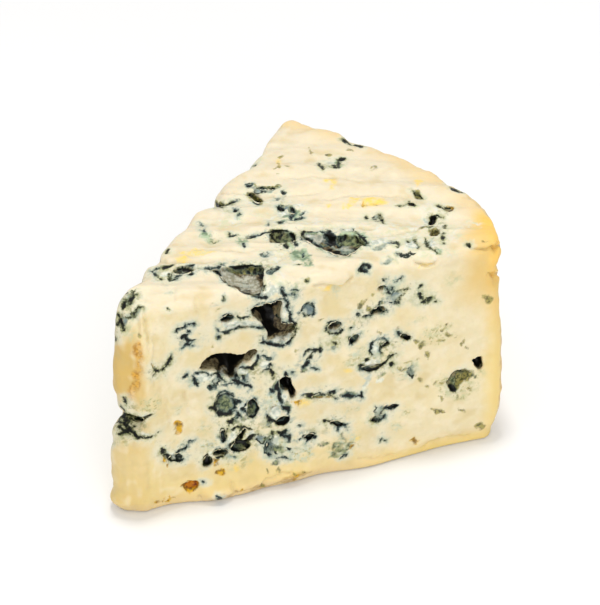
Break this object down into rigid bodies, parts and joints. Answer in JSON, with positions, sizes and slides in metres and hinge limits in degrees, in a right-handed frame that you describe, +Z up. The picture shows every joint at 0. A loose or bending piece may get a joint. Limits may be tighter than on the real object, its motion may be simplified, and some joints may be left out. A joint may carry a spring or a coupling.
{
  "type": "blue cheese wedge",
  "caption": "Wedge of creamy blue cheese cut from half the height of a round wheel, with pitted cut faces, a curved rind at the wide end and a flat underside to rest on.",
  "frame": {"origin": "on the surface the wedge stands on, under the middle of the box that holds it", "axes": "+Z up; +X from the thin nose, the wheel's centre, to the curved rind; +Y towards the back cut"},
  "size_m": [0.1169, 0.093, 0.0724],
  "materials": {
    "cheese": "soft moist cream-coloured paste with blue-green mould in its veins and caves, and a dry yellow-brown rind on the curved side and underneath"
  },
  "bodies": {
    "root": {"cheese_wedge": "cheese"}
  },
  "joints": []
}
